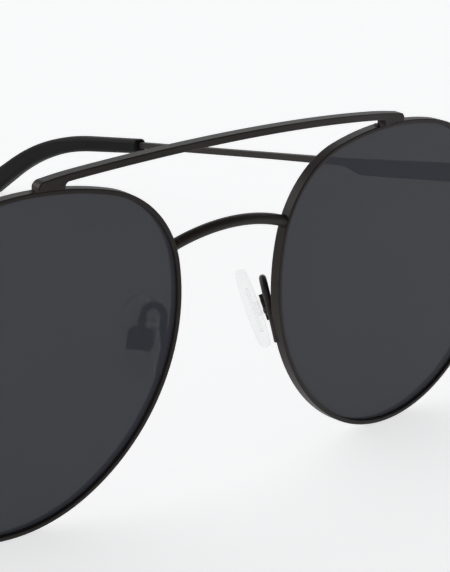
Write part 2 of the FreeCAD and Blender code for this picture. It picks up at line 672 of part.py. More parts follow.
def bent_strip(half_start, half_bend, half_end, reach=1.0):
    """Corners of a strip along the tip's bent centre line; reach shortens the last run."""
    start = Vector(size("tip_start_y"), size("tip_start_z"), 0)
    bend = Vector(size("tip_bend_y"), size("tip_bend_z"), 0)
    full_end = Vector(size("tip_end_y"), size("tip_end_z"), 0)
    end = bend + (full_end - bend) * reach
    first, last = (bend - start).normalize(), (end - bend).normalize()
    first_up, last_up = Vector(-first.y, first.x, 0), Vector(-last.y, last.x, 0)
    mitre = (first_up + last_up).normalize()
    stretch = 1 / math.cos(first_up.getAngle(last_up) / 2)
    radius = size("tip_bend_radius")
    upper = [start + first_up * half_start, bend + mitre * (half_bend * stretch),
             end + last_up * half_end]
    lower = [start - first_up * half_start, bend - mitre * (half_bend * stretch),
             end - last_up * half_end]
    return upper, lower, radius + half_bend, radius - half_bend


def make_temple():
    """The metal temple: deep blade, step down, narrow strip, and the tail inside the tip."""
    inner, thick = size("strip_inner_x"), size("strip_thickness")
    body = new_body("left_temple", Placement(Vector(inner, 0, 0), Rotation()))
    front = size("hinge_y") + size("butt_gap")
    top, low = size("hinge_high"), size("hinge_low")
    step_y, tip_y = size("step_y"), size("tip_start_y")
    blade_end = front + size("blade_length")
    top_step = top - (step_y - front) * size("blade_top_slope")
    top_tip = top_step - (tip_y - step_y) * size("strip_top_slope")
    step_round = size("step_rounding")
    side = new_sketch(body, "YZ")
    rounded_loop(side, [
        (front, low), (blade_end, low - size("blade_length") * size("blade_low_slope"), step_round),
        (step_y, size("step_z"), step_round), (size("strip_start_y"), size("strip_start_z")),
        (tip_y + 1, top_tip - size("strip_height")), (tip_y + 1, top_tip),
        (step_y, top_step), (front, top)])
    pad(body, side, "Sizes.strip_thickness")
    tail_half = size("tail_half")
    upper, lower, upper_radius, lower_radius = bent_strip(tail_half, tail_half, tail_half,
                                                          size("tail_length"))
    margin = (thick - size("tail_thickness")) / 2
    tail = new_sketch(body, "YZ", margin)
    rounded_loop(tail, [(lower[0].x, lower[0].y), (lower[1].x, lower[1].y, lower_radius),
                        (lower[2].x, lower[2].y, 0.5), (upper[2].x, upper[2].y, 0.5),
                        (upper[1].x, upper[1].y, upper_radius), (upper[0].x, upper[0].y)])
    pad(body, tail, "Sizes.tail_thickness")
    return body


def make_temple_tip():
    """The plastic temple tip: an oval bent sleeve with a blind slot for the metal tail."""
    middle_x = size("strip_inner_x") + size("strip_thickness") / 2
    body = new_body("left_temple_tip", Placement(Vector(middle_x, 0, 0), Rotation()))
    upper, lower, upper_radius, lower_radius = bent_strip(
        size("tip_half_start"), size("tip_half_bend"), size("tip_half_end"))
    end_round = size("tip_end_rounding")
    side = new_sketch(body, "YZ")
    start_round = size("tip_start_rounding")
    rounded_loop(side, [(lower[0].x, lower[0].y, start_round),
                        (lower[1].x, lower[1].y, lower_radius),
                        (lower[2].x, lower[2].y, end_round), (upper[2].x, upper[2].y, end_round),
                        (upper[1].x, upper[1].y, upper_radius),
                        (upper[0].x, upper[0].y, start_round)])
    pad(body, side, "Sizes.tip_thickness", both_ways=True)
    half_thick = size("tip_thickness") / 2
    round_edges(body, "Sizes.tip_rounding",
                lambda edge: is_at(edge, "X", half_thick) or is_at(edge, "X", -half_thick))
    slot_half = size("tail_half") + size("tail_gap")
    reach = size("tail_length") + 0.02
    upper, lower, upper_radius, lower_radius = bent_strip(slot_half, slot_half, slot_half, reach)
    slot = new_sketch(body, "YZ")
    rounded_loop(slot, [(lower[0].x, lower[0].y), (lower[1].x, lower[1].y, lower_radius),
                        (lower[2].x, lower[2].y), (upper[2].x, upper[2].y),
                        (upper[1].x, upper[1].y, upper_radius), (upper[0].x, upper[0].y)])
    pocket(body, slot, "Sizes.tail_thickness + 2 * Sizes.tail_gap", both_ways=True)
    mouth = new_sketch(body, "YZ")
    deep, loose = size("mouth_depth"), size("mouth_gap")
    tall = size("strip_height") / 2 + loose
    start_y, start_z = size("tip_start_y"), size("tip_start_z")
    rounded_loop(mouth, [(start_y - 1, start_z - tall), (start_y + deep, start_z - tall - 0.25),
                         (start_y + deep, start_z + tall - 0.25), (start_y - 1, start_z + tall)])
    pocket(body, mouth, "Sizes.strip_thickness + Sizes.mouth_gap", both_ways=True)
    return body


# ---------------------------------------------------------------- nose pads

def pad_outline():
    """The nose pad seen face on: straight along the front, leaning back lower down."""
    low, high, front = size("pad_low"), size("pad_high"), size("pad_front_edge")
    low_corner, high_corner = size("pad_low_corner"), size("pad_high_corner")
    return [(front, low, low_corner), (size("pad_back_low"), low, low_corner),
            (size("pad_back_high"), high, high_corner), (front, high, high_corner)]


def make_nose_pad():
    """The soft pad: domed on both sides, rounded rectangle in outline, hollow for its core."""
    body = new_body("left_nose_pad", pad_frame())
    low, high = size("pad_low"), size("pad_high")
    face, back = size("pad_face"), size("pad_back")
    end_face, end_back = size("pad_end_face"), size("pad_end_back")
    profile = new_sketch(body, "XZ")
    join_chain(profile, [
        arc_through((end_face, low), (face, 0), (end_face, high)),
        Part.LineSegment(Vector(end_face, high, 0), Vector(end_back, high, 0)),
        arc_through((end_back, high), (back, 0), (end_back, low)),
        Part.LineSegment(Vector(end_back, low, 0), Vector(end_face, low, 0)),
    ])
    pad(body, profile, "Sizes.cut_reach", both_ways=True)
    outline = new_sketch(body, "YZ", -size("cut_reach"))
    rounded_loop(outline, pad_outline())
    rounded_loop(outline, rectangle(size("cut_reach"), size("cut_reach"), 0))
    pocket(body, outline, "all", reverse=True)
    round_edges(body, "Sizes.pad_rounding", is_pad_rim)
    hollow = new_sketch(body, "YZ", pad_core_start())
    rounded_loop(hollow, core_outline())
    pocket(body, hollow, "Sizes.core_thickness", reverse=True)
    mouth = new_sketch(body, "YZ", pad_core_start())
    rounded_loop(mouth, tab_outline())
    pocket(body, mouth, "all", reverse=True)
    return body


def core_outline():
    return rectangle(size("core_width") / 2, size("core_height") / 2, 1.2, size("tab_y"))


def tab_outline():
    return rectangle(size("tab_half_width"), size("tab_half_height"), 0.3, size("tab_y"))


def is_pad_rim(edge):
    """The edges around the outline where the pad's two faces meet its side."""
    box = edge.BoundBox
    return box.XMax - box.XMin < size("core_thickness")


def pad_core_start():
    return -size("core_thickness") / 2


def make_pad_core():
    """The hard insert moulded into the pad, with the drilled tab that the pad box takes."""
    body = new_body("left_pad_core", pad_frame())
    plate = new_sketch(body, "YZ", pad_core_start())
    rounded_loop(plate, core_outline())
    pad(body, plate, "Sizes.core_thickness")
    tab = new_sketch(body, "YZ", 0)
    rounded_loop(tab, tab_outline())
    pad(body, tab, "Sizes.tab_end")
    bore = new_sketch(body, "XZ", -size("cut_reach"))
    circle(bore, size("pad_screw_x"), 0, "Sizes.pad_screw_radius + Sizes.running_gap")
    pocket(body, bore, "all", reverse=True)
    return body


def make_pad_box():
    """The little channel at the end of the pad arm, open towards the pad."""
    body = new_body("left_pad_box", pad_frame())
    half, corner = size("box_half_height"), size("box_corner")
    near, far = size("tab_y") - size("box_half_width"), size("tab_y") + size("box_half_width")
    outline = new_sketch(body, "YZ", size("box_front"))
    rounded_loop(outline, [(near, -half, 0.3), (far, -half, 0.3), (far, half - corner),
                           (far - corner, half), (near + corner, half), (near, half - corner)])
    pad(body, outline, "Sizes.box_back - Sizes.box_front")
    channel = new_sketch(body, "YZ", size("box_front") - 1)
    rounded_loop(channel, rectangle(size("box_channel_half"), 5, 0, size("tab_y")))
    pocket(body, channel, "Sizes.box_back - Sizes.box_front - Sizes.box_floor + 1", reverse=True)
    bore = new_sketch(body, "XZ", -size("cut_reach"))
    circle(bore, size("pad_screw_x"), 0, "Sizes.pad_screw_radius + Sizes.tight_gap")
    pocket(body, bore, "all", reverse=True)
    return body


def make_pad_screw():
    """The screw across the box, with its head on the side towards the rim."""
    upright = Rotation(Vector(1, 0, 0), 90)
    place = pad_frame().multiply(Placement(Vector(size("pad_screw_x"), size("tab_y"), 0), upright))
    wide = size("box_half_width")
    return turned_pin("left_pad_screw", place, size("pad_screw_radius"), -wide - 0.15, wide,
                      size("pad_screw_head_radius"), size("pad_screw_head_height"))


def make_pad_arm():
    """The bent wire from the back of the rim, up and over in a loop, down to the pad box."""
    body = new_body("left_pad_arm", pad_frame())
    loop_y, loop_z, loop = size("arm_loop_y"), size("arm_loop_z"), size("arm_loop_radius")
    outer, inner = loop_y - loop, loop_y + loop
    spine = new_sketch(body, "YZ", size("arm_plane_x"), size("arm_plane_lean"))
    root = Vector(size("arm_root_y"), size("arm_root_z"), 0)
    knee = Vector(size("arm_knee_y"), size("arm_knee_z"), 0)
    foot = [root, knee, Vector(outer, size("arm_shin_z"), 0), Vector(outer, loop_z, 0)]
    leg = [Vector(inner, loop_z, 0), Vector(inner, size("arm_neck_z"), 0),
           Vector(size("arm_end_y"), size("arm_end_z"), 0)]
    bend = size("arm_bend_radius")
    edges = rounded_run(foot, bend)
    edges.append(flat_arc(foot[-1], Vector(loop_y, loop_z + loop, 0), leg[0]))
    edges += rounded_run(leg, bend)
    join_chain(spine, edges, closed=False)
    doc.recompute()
    start = body.Placement.inverse().multVec(spine.getGlobalPlacement().multVec(foot[0]))
    ahead = body.Placement.inverse().multVec(spine.getGlobalPlacement().multVec(foot[1])) - start
    section = body.newObject("Sketcher::SketchObject", "left_pad_arm_section")
    section.MapMode = "Deactivated"
    section.Placement = Placement(start, Rotation(Vector(0, 0, 1), ahead))
    circle(section, 0, 0, "Sizes.arm_wire / 2")
    pipe = body.newObject("PartDesign::AdditivePipe", "left_pad_arm_pipe")
    pipe.Profile = section
    pipe.Spine = (spine, [])
    pipe.Transition = "Round corner"
    return body


def rounded_run(points, radius):
    """Straight runs through the points with tangent arcs at the inner corners."""
    edges, at = [], points[0]
    for i in range(1, len(points) - 1):
        back = (points[i - 1] - points[i]).normalize()
        ahead = (points[i + 1] - points[i]).normalize()
        half = back.getAngle(ahead) / 2
        setback = radius / math.tan(half)
        begin, finish = points[i] + back * setback, points[i] + ahead * setback
        centre = points[i] + (back + ahead).normalize() * (radius / math.sin(half))
        middle = centre + (points[i] - centre).normalize() * radius
        edges += [Part.LineSegment(at, begin), flat_arc(begin, middle, finish)]
        at = finish
    edges.append(Part.LineSegment(at, points[-1]))
    return edges


# ---------------------------------------------------------------- assembly

middle_parts = [make_brow_bar(), make_nose_bridge()]
left_parts = [make_rim(), make_lens(), make_end_piece(), make_front_hinge(), make_hinge_screw(),
              make_temple(), make_temple_hinge(), make_temple_tip(),
              make_nose_pad(), make_pad_core(), make_pad_box(), make_pad_screw(), make_pad_arm()]
left_parts += make_rim_locks()
doc.recompute()


def tightest_box(shape):
    return shape.optimalBoundingBox(False, False)


def standing_tilt(rim, tip):
    """The turn about X, in degrees, that brings the rim and the tip down to one floor."""
    low, high = 0.0, 6.0
    for step in range(30):
        middle = (low + high) / 2
        turn = Placement(Vector(), Rotation(Vector(1, 0, 0), middle))
        gap = tightest_box(tip.transformed(turn.toMatrix())).ZMin \
            - tightest_box(rim.transformed(turn.toMatrix())).ZMin
        low, high = (middle, high) if gap < 0 else (low, middle)
    return middle


by_label = {part.Label: part for part in left_parts + middle_parts}
tilt = standing_tilt(by_label["left_rim"].Shape, by_label["left_temple_tip"].Shape)
turn = Placement(Vector(), Rotation(Vector(1, 0, 0), tilt))
turned = [part.Shape.transformed(turn.toMatrix()) for part in left_parts + middle_parts]
boxes = [tightest_box(shape) for shape in turned]
front_most = min(box.YMin for box in boxes)
rear_most = max(box.YMax for box in boxes)
floor = min(box.ZMin for box in boxes)
seat = Placement(Vector(0, -(front_most + rear_most) / 2, -floor), turn.Rotation)
for part in left_parts + middle_parts:
    part.Placement = seat.multiply(part.Placement)
doc.recompute()

right_parts = []
for part in left_parts:
    label = part.Label.replace("left_", "right_")
    mirrored = doc.addObject("Part::Mirroring", label)
    mirrored.Label = label
    mirrored.Source = part
    mirrored.Normal = Vector(1, 0, 0)
    right_parts.append(mirrored)
doc.recompute()

all_parts = left_parts + middle_parts + right_parts
for item in doc.Objects:
    if "Invalid" in item.State or "Error" in item.State:
        raise ValueError("failed object: " + item.Label)
for part in all_parts:
    if part.Shape.isNull() or not part.Shape.isValid() or len(part.Shape.Solids) != 1:
        raise ValueError("bad shape: " + part.Label)

os.makedirs("parts", exist_ok=True)
for part in all_parts:
    part.Shape.exportStep("parts/" + part.Label + ".step")
print("seat: tilt", round(tilt, 4), "move", [round(number, 4) for number in seat.Base])
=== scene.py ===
import json
import math

import bmesh
import bpy
from mathutils import Matrix, Vector


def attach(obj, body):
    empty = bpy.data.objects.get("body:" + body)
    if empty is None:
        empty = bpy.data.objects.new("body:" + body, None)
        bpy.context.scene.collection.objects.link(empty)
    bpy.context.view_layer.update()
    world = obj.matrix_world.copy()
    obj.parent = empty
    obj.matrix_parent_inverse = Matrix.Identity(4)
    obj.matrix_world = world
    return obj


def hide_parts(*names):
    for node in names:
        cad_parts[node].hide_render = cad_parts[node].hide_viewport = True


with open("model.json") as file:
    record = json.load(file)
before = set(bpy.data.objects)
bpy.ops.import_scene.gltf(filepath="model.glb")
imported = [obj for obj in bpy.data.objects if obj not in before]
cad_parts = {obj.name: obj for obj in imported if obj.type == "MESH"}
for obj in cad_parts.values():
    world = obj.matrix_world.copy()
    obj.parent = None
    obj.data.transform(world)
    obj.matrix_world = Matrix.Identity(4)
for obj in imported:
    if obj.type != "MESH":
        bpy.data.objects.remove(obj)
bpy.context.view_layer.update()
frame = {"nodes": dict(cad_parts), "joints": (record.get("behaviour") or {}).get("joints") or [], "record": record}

# Double-bridge aviator sunglasses, standing open on a pale floor. Metres, in the frame of the
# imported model: X to the wearer's left, Y back along the temples, Z up.

MM = 0.001
SIDES = ("left", "right")
nodes = frame["nodes"]


# ---------------------------------------------------------------- places

# The front leans a little when the glasses stand on a table, so its pieces are placed in a frame of
# its own: X left, with 0 at the middle of the bridge, Y back, and Z up in the plane of the front.
# Z is the axis of the temple hinge, and the hinge's middle has a known place in that frame.
HINGE_IN_FRONT = Vector((65.0, 8.0, 6.735)) * MM


def front_frame():
    """Matrix from the front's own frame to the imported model's."""
    fold = next(joint for joint in frame["joints"] if joint["name"] == "left_temple_fold")
    up = Vector(fold["axis"]).normalized()
    left = Vector((1, 0, 0))
    back = up.cross(left)
    turn = Matrix((left, back, up)).transposed().to_4x4()
    return Matrix.Translation(Vector(fold["pos_m"]) - turn @ HINGE_IN_FRONT) @ turn


FRONT = front_frame()


# ---------------------------------------------------------------- shader helpers

# A noise value seldom leaves this range, so colours and roughness are laid out between its ends.
NOISE_LOW, NOISE_HIGH = 0.3, 0.7


def new_material(name):
    """An empty node material with a Principled shader wired to its output."""
    material = bpy.data.materials.new(name)
    material.use_nodes = True
    tree = material.node_tree
    tree.nodes.clear()
    shader = tree.nodes.new("ShaderNodeBsdfPrincipled")
    output = tree.nodes.new("ShaderNodeOutputMaterial")
    tree.links.new(shader.outputs["BSDF"], output.inputs["Surface"])
    return material, tree, shader


def object_coordinates(tree):
    """Places in the object's own space, in metres, which move with the piece."""
    return tree.nodes.new("ShaderNodeTexCoord").outputs["Object"]


def noise(tree, scale, detail=2.0, roughness=0.5):
    """A noise value from 0 to 1 in object space; scale is in waves per metre."""
    node = tree.nodes.new("ShaderNodeTexNoise")
    node.inputs["Scale"].default_value = scale
    node.inputs["Detail"].default_value = detail
    node.inputs["Roughness"].default_value = roughness
    tree.links.new(object_coordinates(tree), node.inputs["Vector"])
    return node.outputs["Fac"]


def spread(tree, value, low, high, start=0.0, end=1.0):
    """The value mapped from start..end to low..high."""
    node = tree.nodes.new("ShaderNodeMapRange")
    tree.links.new(value, node.inputs["Value"])
    node.inputs["From Min"].default_value = start
    node.inputs["From Max"].default_value = end
    node.inputs["To Min"].default_value = low
    node.inputs["To Max"].default_value = high
    return node.outputs["Result"]


def ramp(tree, value, stops):
    """A colour ramp; stops are (place, colour)."""
    node = tree.nodes.new("ShaderNodeValToRGB")
    elements = node.color_ramp.elements
    elements[0].position, elements[0].color = stops[0][0], (*stops[0][1], 1)
    elements[1].position, elements[1].color = stops[-1][0], (*stops[-1][1], 1)
    for place, colour in stops[1:-1]:
        elements.new(place).color = (*colour, 1)
    tree.links.new(value, node.inputs["Fac"])
    return node.outputs["Color"]


def shades(tree, cloud, dark, light, low=NOISE_LOW, high=NOISE_HIGH):
    """A colour that drifts from dark to light with the noise called cloud."""
    return ramp(tree, cloud, [(low, dark), (high, light)])


def vary_roughness(tree, shader, grain, smoothest, roughest):
    """Roughness that follows a noise value."""
    roughness = spread(tree, grain, smoothest, roughest, NOISE_LOW, NOISE_HIGH)
    tree.links.new(roughness, shader.inputs["Roughness"])


def mix_colours(tree, share, first, second):
    """First where share is 0, second where it is 1; each is a colour or a socket."""
    node = tree.nodes.new("ShaderNodeMix")
    node.data_type = "RGBA"
    tree.links.new(share, node.inputs["Factor"])
    for socket, colour in (("A", first), ("B", second)):
        target = [s for s in node.inputs if s.name == socket and s.type == "RGBA"][0]
        if isinstance(colour, tuple):
            target.default_value = (*colour, 1)
        else:
            tree.links.new(colour, target)
    return [s for s in node.outputs if s.type == "RGBA"][0]


def edge_share(tree, low, high):
    """How much a point lies on a convex edge, 0 to 1, from the mesh's pointiness."""
    geometry = tree.nodes.new("ShaderNodeNewGeometry")
    return spread(tree, geometry.outputs["Pointiness"], 0.0, 1.0, low, high)


def bump(tree, shader, height, strength, distance):
    """Bump from a height between 0 and 1; distance is the depth in metres."""
    node = tree.nodes.new("ShaderNodeBump")
    node.inputs["Strength"].default_value = strength
    node.inputs["Distance"].default_value = distance
    tree.links.new(height, node.inputs["Height"])
    tree.links.new(node.outputs["Normal"], shader.inputs["Normal"])


# ---------------------------------------------------------------- materials

def black_lacquer():
    """Matt black lacquer on metal: a fine sprayed grain, a little warm, thin at the edges."""
    material, tree, shader = new_material("black_lacquer")
    cloud = noise(tree, 160.0, 3.0, 0.6)
    grain = noise(tree, 9000.0, 2.0, 0.6)
    body = shades(tree, cloud, (0.0190, 0.0148, 0.0138), (0.0260, 0.0208, 0.0194))
    worn_colour = (0.031, 0.0256, 0.0240)
    worn = mix_colours(tree, edge_share(tree, 0.52, 0.62), body, worn_colour)
    tree.links.new(worn, shader.inputs["Base Color"])
    vary_roughness(tree, shader, grain, 0.36, 0.50)
    shader.inputs["IOR"].default_value = 1.5
    shader.inputs["Specular IOR Level"].default_value = 0.20
    shader.inputs["Specular Tint"].default_value = (1.0, 0.965, 0.95, 1)
    bump(tree, shader, grain, 0.25, 0.00002)
    return material


def tip_plastic():
    """Matt black acetate of the temple tips: soft sheen with a very fine moulded grain."""
    material, tree, shader = new_material("tip_plastic")
    cloud = noise(tree, 90.0, 3.0, 0.6)
    grain = noise(tree, 5200.0, 2.0, 0.6)
    body = shades(tree, cloud, (0.0050, 0.0050, 0.0052), (0.0072, 0.0072, 0.0076))
    tree.links.new(body, shader.inputs["Base Color"])
    vary_roughness(tree, shader, grain, 0.42, 0.56)
    shader.inputs["Specular IOR Level"].default_value = 0.08
    bump(tree, shader, grain, 0.2, 0.00003)
    return material


def tinted_lens():
    """Dark grey lens, a little blue, with a soft gloss: its two faces together pass 2 per cent."""
    material, tree, shader = new_material("tinted_lens")
    cloud = noise(tree, 25.0, 2.0, 0.5)
    body = shades(tree, cloud, (0.0620, 0.0642, 0.0790), (0.0640, 0.0662, 0.0810), 0.35, 0.65)
    tree.links.new(body, shader.inputs["Base Color"])
    haze = noise(tree, 300.0, 3.0, 0.6)
    vary_roughness(tree, shader, haze, 0.05, 0.09)
    shader.inputs["IOR"].default_value = 1.5
    shader.inputs["Specular IOR Level"].default_value = 0.04
    shader.inputs["Alpha"].default_value = 0.845
    bump(tree, shader, haze, 0.02, 0.00001)
    return material


CLEAR_BLEND = 0.35
CLEAR_HEAD_ON, CLEAR_GRAZING = 0.25, 0.95


def clear_cover(tree, shader, facing, grazing):
    """See-through material: the share that covers what lies behind, head on and at the edges."""
    weight = tree.nodes.new("ShaderNodeLayerWeight")
    weight.inputs["Blend"].default_value = CLEAR_BLEND
    turned_away = weight.outputs["Facing"]
    cover = spread(tree, turned_away, facing, grazing, CLEAR_HEAD_ON, CLEAR_GRAZING)
    tree.links.new(cover, shader.inputs["Alpha"])


def pad_silicone():
    """Clear silicone of the nose pads, faintly milky, with a satin skin and denser edges."""
    material, tree, shader = new_material("pad_silicone")
    cloud = noise(tree, 400.0, 3.0, 0.6)
    grain = noise(tree, 6000.0, 2.0, 0.5)
    body = shades(tree, cloud, (0.86, 0.87, 0.88), (0.93, 0.94, 0.95))
    tree.links.new(body, shader.inputs["Base Color"])
    vary_roughness(tree, shader, grain, 0.22, 0.34)
    shader.inputs["IOR"].default_value = 1.41
    clear_cover(tree, shader, 0.06, 0.18)
    bump(tree, shader, grain, 0.06, 0.00002)
    return material


def pad_insert():
    """The clear hard insert inside each pad."""
    material, tree, shader = new_material("pad_insert")
    cloud = noise(tree, 500.0, 2.0, 0.5)
    body = shades(tree, cloud, (0.80, 0.81, 0.82), (0.88, 0.89, 0.90))
    tree.links.new(body, shader.inputs["Base Color"])
    vary_roughness(tree, shader, cloud, 0.08, 0.16)
    shader.inputs["IOR"].default_value = 1.49
    clear_cover(tree, shader, 0.05, 0.18)
    return material


def dark_screw():
    """Blackened steel of the screws: mottled, with bright worn edges."""
    material, tree, shader = new_material("dark_screw")
    cloud = noise(tree, 1500.0, 3.0, 0.6)
    body = shades(tree, cloud, (0.030, 0.029, 0.029), (0.055, 0.053, 0.052))
    worn_colour = (0.16, 0.155, 0.15)
    worn = mix_colours(tree, edge_share(tree, 0.52, 0.66), body, worn_colour)
    tree.links.new(worn, shader.inputs["Base Color"])
    shader.inputs["Metallic"].default_value = 1.0
    vary_roughness(tree, shader, cloud, 0.28, 0.42)
    bump(tree, shader, cloud, 0.1, 0.00001)
    return material


MATERIALS = {
    "black_metal": black_lacquer(),
    "tinted_lens": tinted_lens(),
    "pad_silicone": pad_silicone(),
    "pad_insert": pad_insert(),
    "tip_plastic": tip_plastic(),
    "screw_steel": dark_screw(),
}


def paint_nodes():
    """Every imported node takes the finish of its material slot."""
    slots = {part["node"]: part["material_slot"] for part in frame["record"]["subparts"]}
    for name, node in nodes.items():
        node.data.materials.clear()
        node.data.materials.append(MATERIALS[slots[name]])


paint_nodes()


def smooth_piece(name, mesh, material):
    """An object from finished mesh code, with its faces turned outward and shaded smooth."""
    bmesh.ops.recalc_face_normals(mesh, faces=mesh.faces[:])
    for face in mesh.faces:
        face.smooth = True
    data = bpy.data.meshes.new(name)
    mesh.to_mesh(data)
    mesh.free()
    data.materials.append(material)
    piece = bpy.data.objects.new(name, data)
    bpy.context.collection.objects.link(piece)
    return piece


# ---------------------------------------------------------------- nose pads

# A pad is drawn in its own frame: X away from the nose, Y back across the pad, Z up the pad. It
# rocks about the line along Y through its screw, which is at PAD_SCREW. It flares by PAD_FLARE.
PAD_FLARE = math.radians(21.7)
PAD_SCREW = Vector((2.05, -0.90, 0.0)) * MM

# The outline in Y and Z, millimetres: a strip that narrows upward, and the radii of its corners.
PAD_LOW, PAD_HIGH = -6.15, 6.40
PAD_FRONT, PAD_BACK_LOW, PAD_BACK_HIGH = -3.82, 3.32, 2.22
PAD_LOW_CORNER, PAD_HIGH_CORNER = 2.5, 1.8

# The thickness in X, millimetres: the face towards the nose, the parting line and the back, and how
# far the face and the back bend towards the parting line at half the pad's height and half its width.
PAD_FACE, PAD_PARTING, PAD_BACK = -1.33, -0.08, 1.03
PAD_HALF_HEIGHT, PAD_HALF_WIDTH = 6.3, 3.5
FACE_BEND_UP, BACK_BEND_UP, BEND_ACROSS = 0.30, 0.20, 0.10

# The share of the outline between which the face has its shallow step; the back has none.
STEP_IN, STEP_OUT = 0.76, 0.80


def pad_frame(side):
    """Matrix from the pad's own frame to the model's; the right pad is the left one mirrored."""
    rock = next(joint for joint in frame["joints"] if joint["name"] == "left_pad_rock")
    across = Vector(rock["axis"]).normalized()
    up_front = FRONT.to_3x3() @ Vector((0, 0, 1))
    level = across.cross(up_front).normalized()
    away = (level * math.cos(PAD_FLARE) + up_front * math.sin(PAD_FLARE)).normalized()
    up = away.cross(across)
    turn = Matrix((away, across, up)).transposed().to_4x4()
    place = Matrix.Translation(Vector(rock["pos_m"]) - turn @ PAD_SCREW) @ turn
    mirror = Matrix.Scale(-1, 4, Vector((1, 0, 0))) if side == "right" else Matrix.Identity(4)
    return mirror @ place


def rounded_corner(before, corner, after, radius, steps):
    """Points of the arc that rounds one corner of a flat outline."""
    back, ahead = (before - corner).normalized(), (after - corner).normalized()
    half = back.angle(ahead) / 2
    centre = corner + (back + ahead).normalized() * (radius / math.sin(half))
    first = corner + back * (radius / math.tan(half)) - centre
    sweep = math.pi - 2 * half
    return [centre + Matrix.Rotation(sweep * step / steps, 2) @ first for step in range(steps + 1)]


def pad_outline(straight_steps=10, corner_steps=8):
    """The pad's outline as points in Y and Z, millimetres, all the way round."""
    corners = [Vector((PAD_FRONT, PAD_LOW)), Vector((PAD_BACK_LOW, PAD_LOW)),
               Vector((PAD_BACK_HIGH, PAD_HIGH)), Vector((PAD_FRONT, PAD_HIGH))]
    radii = [PAD_LOW_CORNER, PAD_LOW_CORNER, PAD_HIGH_CORNER, PAD_HIGH_CORNER]
    count = len(corners)
    arcs = []
    for i in range(count):
        before, after = corners[i - 1], corners[(i + 1) % count]
        arcs.append(rounded_corner(before, corners[i], after, radii[i], corner_steps))
    points = []
    for i, arc in enumerate(arcs):
        points += arc
        following = arcs[(i + 1) % count][0]
        for step in range(1, straight_steps):
            points.append(arc[-1].lerp(following, step / straight_steps))
    return points


def pad_skin_levels():
    """Rings from the face's middle over the rim to the back's middle: (share, layer, sunk).

    Share is how much of the outline the ring spans. Layer is -1 for the face, 0 for the parting line
    and 1 for the back. Sunk is how far the ring has gone to the parting line: 0 on the dome, 1 there.
    """
    face = [(0.0, 0.0), (0.18, 0.0), (0.36, 0.0), (0.54, 0.005), (0.68, 0.01), (0.765, 0.02),
            (0.785, 0.055), (0.83, 0.06), (0.90, 0.08), (0.945, 0.15), (0.975, 0.30), (0.994, 0.60)]
    back = [(share, sunk) for share, sunk in face if not STEP_IN < share < STEP_OUT]
    over_face = [(share, -1, sunk) for share, sunk in face]
    over_back = [(share, 1, sunk) for share, sunk in reversed(back)]
    return over_face + [(1.0, 0, 1.0)] + over_back


def pad_skin_point(place, centre, share, layer, sunk):
    """A point of the pad's skin: domed along its height and a little across."""
    y, z = centre + (place - centre) * share
    up, across = (z / PAD_HALF_HEIGHT)**2, (y / PAD_HALF_WIDTH)**2
    face = PAD_FACE + FACE_BEND_UP * up + BEND_ACROSS * across
    back = PAD_BACK - BACK_BEND_UP * up - BEND_ACROSS * across
    surface = {-1: face, 0: PAD_PARTING, 1: back}[layer]
    x = surface + (PAD_PARTING - surface) * sunk
    return Vector((x, y, z)) * MM


def make_pad(side):
    """The soft pad: a domed moulding with a rolled rim and a shallow step round its face."""
    outline = pad_outline()
    centre = Vector(((PAD_FRONT + PAD_BACK_LOW) / 2, (PAD_LOW + PAD_HIGH) / 2))
    place = pad_frame(side)
    mesh = bmesh.new()
    rings = []
    for share, layer, sunk in pad_skin_levels():
        spots = outline if share else [centre]
        ring = [place @ pad_skin_point(spot, centre, share, layer, sunk) for spot in spots]
        rings.append([mesh.verts.new(point) for point in ring])
    count = len(outline)
    for first, second in zip(rings, rings[1:]):
        for i in range(count):
            after = (i + 1) % count
            corners = [first[i % len(first)], first[after % len(first)],
                       second[after % len(second)], second[i % len(second)]]
            mesh.faces.new(list(dict.fromkeys(corners)))
    pad = smooth_piece(side + "_soft_pad", mesh, MATERIALS["pad_silicone"])
    finer = pad.modifiers.new("finer", "SUBSURF")
    finer.levels = finer.render_levels = 1
    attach(pad, side + "_pad")
    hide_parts(side + "_nose_pad")


for wearer_side in SIDES:
    make_pad(wearer_side)


# ---------------------------------------------------------------- solder

# The nose bridge is an arc of round wire, in a plane that leans forward. A collar of solder covers
# it between two angles from the crown. The collar starts a hair wider than the wire, and flares.
ARC_RADIUS, WIRE_RADIUS = 32.1 * MM, 0.87 * MM
BRIDGE_CROWN = Vector((0.0, -0.65, 12.32)) * MM
BRIDGE_LEAN = math.radians(12.5)
COLLAR_START, COLLAR_END = math.radians(18.0), math.radians(20.1)
COLLAR_SNUG, COLLAR_FLARE = 1.005, 0.26
COLLAR_STEPS, ROUND_STEPS = 8, 32


def link_metal(name, mesh):
    """A finished mesh in black lacquer that rides on the front."""
    piece = smooth_piece(name, mesh, MATERIALS["black_metal"])
    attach(piece, "front")


def skin_rings(mesh, rings):
    """Quads between successive rings of points, and a cap at each end."""
    loops = [[mesh.verts.new(point) for point in ring] for ring in rings]
    count = len(loops[0])
    for first, second in zip(loops, loops[1:]):
        for i in range(count):
            after = (i + 1) % count
            mesh.faces.new([first[i], first[after], second[after], second[i]])
    mesh.faces.new(loops[0])
    mesh.faces.new(list(reversed(loops[-1])))


